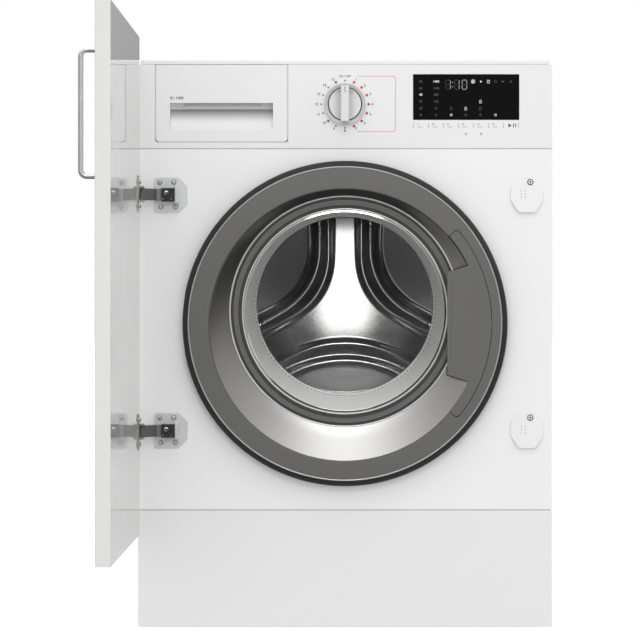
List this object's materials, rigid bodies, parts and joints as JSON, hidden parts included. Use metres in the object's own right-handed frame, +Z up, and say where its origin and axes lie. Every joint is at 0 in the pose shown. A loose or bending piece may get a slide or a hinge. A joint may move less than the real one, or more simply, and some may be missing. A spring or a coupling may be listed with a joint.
{
  "type": "built-in washing machine",
  "caption": "Built-in washing machine: furniture door open at the left, porthole door with glass bowl, drum on a sprung tub, detergent drawer, knob and display.",
  "frame": {"origin": "on the floor, at the centre of the rectangle of the four feet", "axes": "+X to the right across the front, +Y from the front to the back, +Z up; the front faces -Y"},
  "size_m": [0.639, 1.1733, 0.851],
  "materials": {
    "white_enamel": "smooth white enamel",
    "white_moulding": "satin white",
    "grey_moulding": "satin dark warm grey",
    "frame_grey": "matt",
    "satin_chrome": "satin",
    "clear_glass": "clear, polished",
    "grey_rubber": "matt",
    "black_rubber": "matt",
    "drum_steel": "bright",
    "lifter_plastic": "satin",
    "tub_plastic": "matt",
    "cast_alloy": "as cast",
    "concrete": "rough",
    "zinc_steel": "zinc plated",
    "black_plastic": "fine grain",
    "white_plastic": "fine grain",
    "black_glass": "polished black",
    "circuit_board": "solder resist",
    "lacquered_board": "light grey lacquer",
    "satin_steel": "satin"
  },
  "bodies": {
    "cabinet": {"levelling_feet": "black_plastic", "base_frame": "black_plastic", "cabinet_shell": "white_enamel", "rear_service_cover": "zinc_steel", "top_cover": "white_enamel", "front_rail": "zinc_steel", "front_panel": "white_enamel", "kick_panel": "white_moulding", "control_fascia": "white_moulding", "display_window": "black_glass", "control_board": "circuit_board", "encoder_body": "black_plastic", "drawer_housing": "white_plastic", "inlet_valve": "white_plastic", "mains_gland": "black_plastic", "porthole_hinge": "zinc_steel", "door_lock": "black_plastic", "door_gasket": "grey_rubber", "suspension_brackets": "zinc_steel", "tub_springs": "zinc_steel", "damper_cylinders": "black_plastic", "drain_pump": "black_plastic", "sump_hose": "black_rubber", "fill_hose": "black_rubber", "drain_outlet": "white_plastic", "hinge_plates": "satin_steel", "hinge_blocks": "black_plastic", "hinge_arms": "satin_steel", "hinge_covers": "white_moulding"},
    "furniture_door": {"furniture_door": "lacquered_board", "furniture_handle": "satin_steel", "hinge_cups": "satin_steel"},
    "porthole_door": {"porthole_ring": "grey_moulding", "porthole_funnel": "satin_chrome", "porthole_frame": "frame_grey", "glass_bowl": "clear_glass", "porthole_hinge_leaf": "zinc_steel", "lever_pins": "zinc_steel"},
    "porthole_grip": {"porthole_grip": "grey_moulding"},
    "latch_hook": {"latch_hook": "zinc_steel"},
    "detergent_drawer": {"drawer_front": "white_moulding", "detergent_tray": "white_plastic", "siphon_insert": "lifter_plastic"},
    "program_knob": {"program_knob": "white_moulding"},
    "tub": {"tub_rear": "tub_plastic", "tub_front": "tub_plastic", "heater": "zinc_steel", "counterweight_top": "concrete", "counterweight_front": "concrete", "motor": "cast_alloy", "drive_belt": "black_rubber", "damper_rods": "zinc_steel"},
    "drum": {"drum": "drum_steel", "drum_lifters": "lifter_plastic", "drum_spider": "cast_alloy", "drum_pulley": "cast_alloy", "pulley_bolt": "zinc_steel"},
    "motor_rotor": {"motor_rotor": "zinc_steel"}
  },
  "joints": [
    {"name": "furniture_door_hinge", "type": "hinge", "parent": "cabinet", "child": "furniture_door", "pos_m": [-0.291, -0.302, 0.455], "axis": [0, 0, -1], "range_deg": [-90, 5]},
    {"name": "porthole_door_hinge", "type": "hinge", "parent": "cabinet", "child": "porthole_door", "pos_m": [-0.224, -0.284, 0.4395], "axis": [0, 0, -1], "range_deg": [0, 95]},
    {"name": "porthole_grip_hinge", "type": "hinge", "parent": "porthole_door", "child": "porthole_grip", "pos_m": [0.204, -0.293, 0.4395], "axis": [0, 0, 1], "range_deg": [0, 10], "stiffness_Nm_per_rad": 1.5, "springref_deg": -8.59},
    {"name": "latch_hook_hinge", "type": "hinge", "parent": "porthole_door", "child": "latch_hook", "pos_m": [0.213, -0.281, 0.4395], "axis": [0, 0, 1], "range_deg": [-9, 0]},
    {"name": "detergent_drawer_slide", "type": "slide", "parent": "cabinet", "child": "detergent_drawer", "axis": [0, -1, 0], "range_m": [0, 0.16]},
    {"name": "program_knob_turn", "type": "hinge", "parent": "cabinet", "child": "program_knob", "pos_m": [0, -0.27, 0.756], "axis": [0, -1, 0], "continuous": true},
    {"name": "tub_suspension", "type": "slide", "parent": "cabinet", "child": "tub", "axis": [0, 0, 1], "range_m": [-0.012, 0.008], "stiffness_N_per_m": 15000, "springref_m": 0.01919, "deforming": ["tub_springs", "fill_hose", "sump_hose", "door_gasket"]},
    {"name": "drum_spin", "type": "hinge", "parent": "tub", "child": "drum", "pos_m": [0, 0, 0.466], "axis": [0, 1, 0], "continuous": true},
    {"name": "motor_spin", "type": "hinge", "parent": "tub", "child": "motor_rotor", "pos_m": [0.095, 0.221, 0.118], "axis": [0, 1, 0], "continuous": true}
  ],
  "couplings": [
    {"joint": "latch_hook_hinge", "follows": "porthole_grip_hinge", "ratio": -0.9},
    {"joint": "motor_spin", "follows": "drum_spin", "ratio": 14.737}
  ]
}
